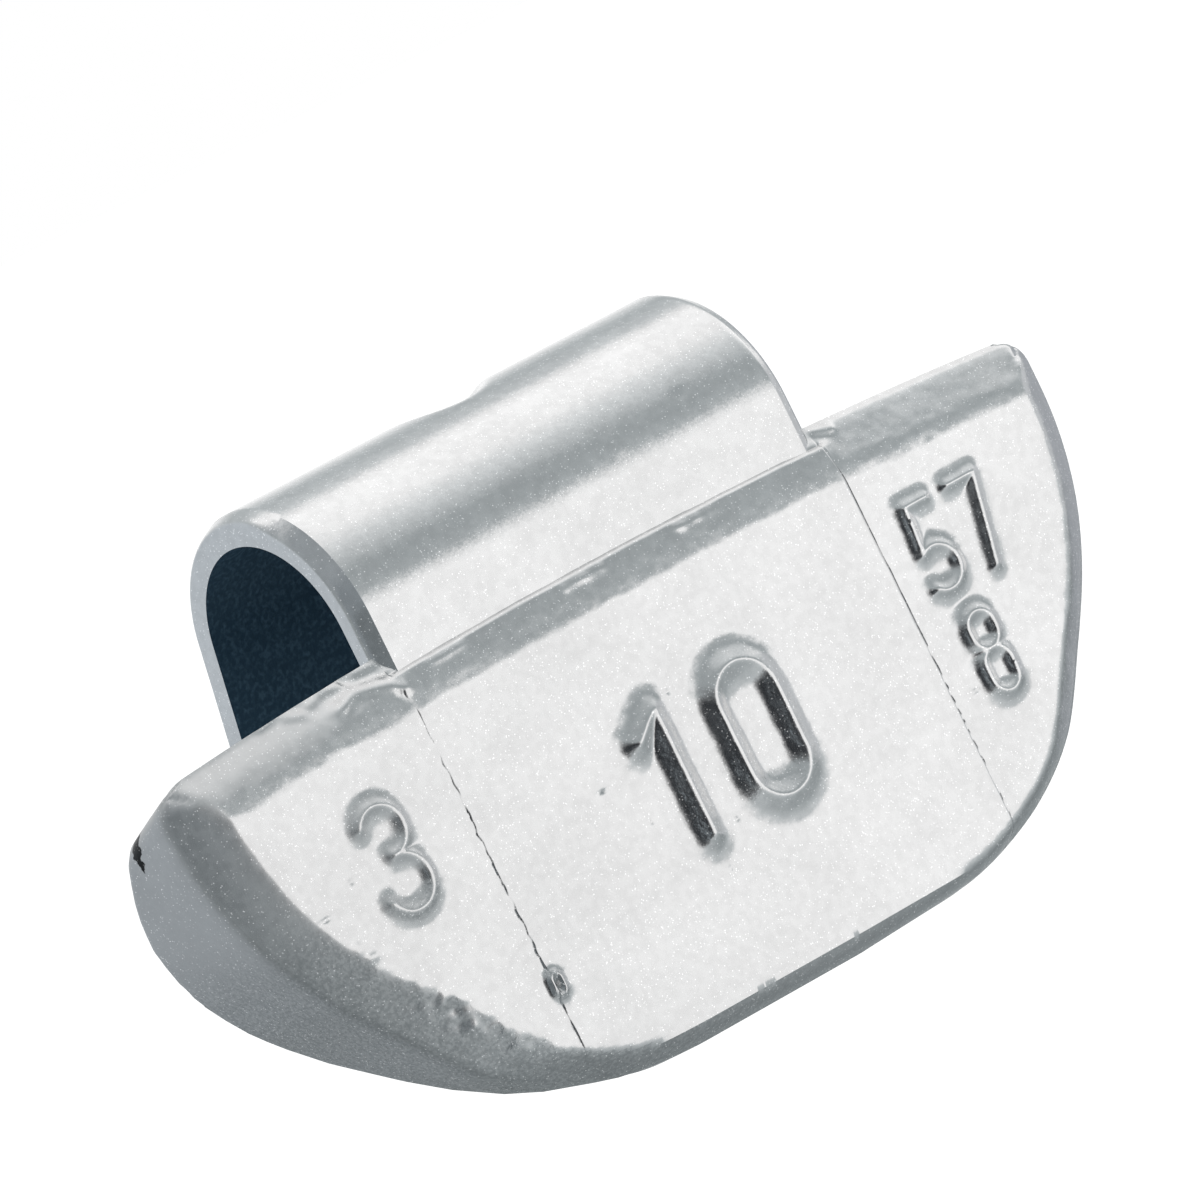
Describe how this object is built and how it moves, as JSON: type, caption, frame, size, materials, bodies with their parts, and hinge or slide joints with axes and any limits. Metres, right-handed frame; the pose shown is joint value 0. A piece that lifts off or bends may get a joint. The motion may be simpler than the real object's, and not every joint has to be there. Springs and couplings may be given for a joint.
{
  "type": "wheel balance weight",
  "caption": "Clip-on wheel balance weight: a thin half-moon zinc body cast round the foot of a spring steel clip that hooks over the edge of a rim.",
  "frame": {"origin": "on the axis of the clip's arch, half-way along the clip, where the rounded edge of the rim lies when the weight is fitted", "axes": "+X along the rim's edge, -Y out of the marked front face, +Z away from the wheel's centre"},
  "size_m": [0.0316, 0.0103, 0.0183],
  "materials": {
    "clip_paint": "satin silver paint with fine flakes, over spring steel",
    "body_paint": "satin silver paint with fine flakes, over cast zinc"
  },
  "bodies": {
    "root": {"clip": "clip_paint", "body": "body_paint"}
  },
  "joints": []
}
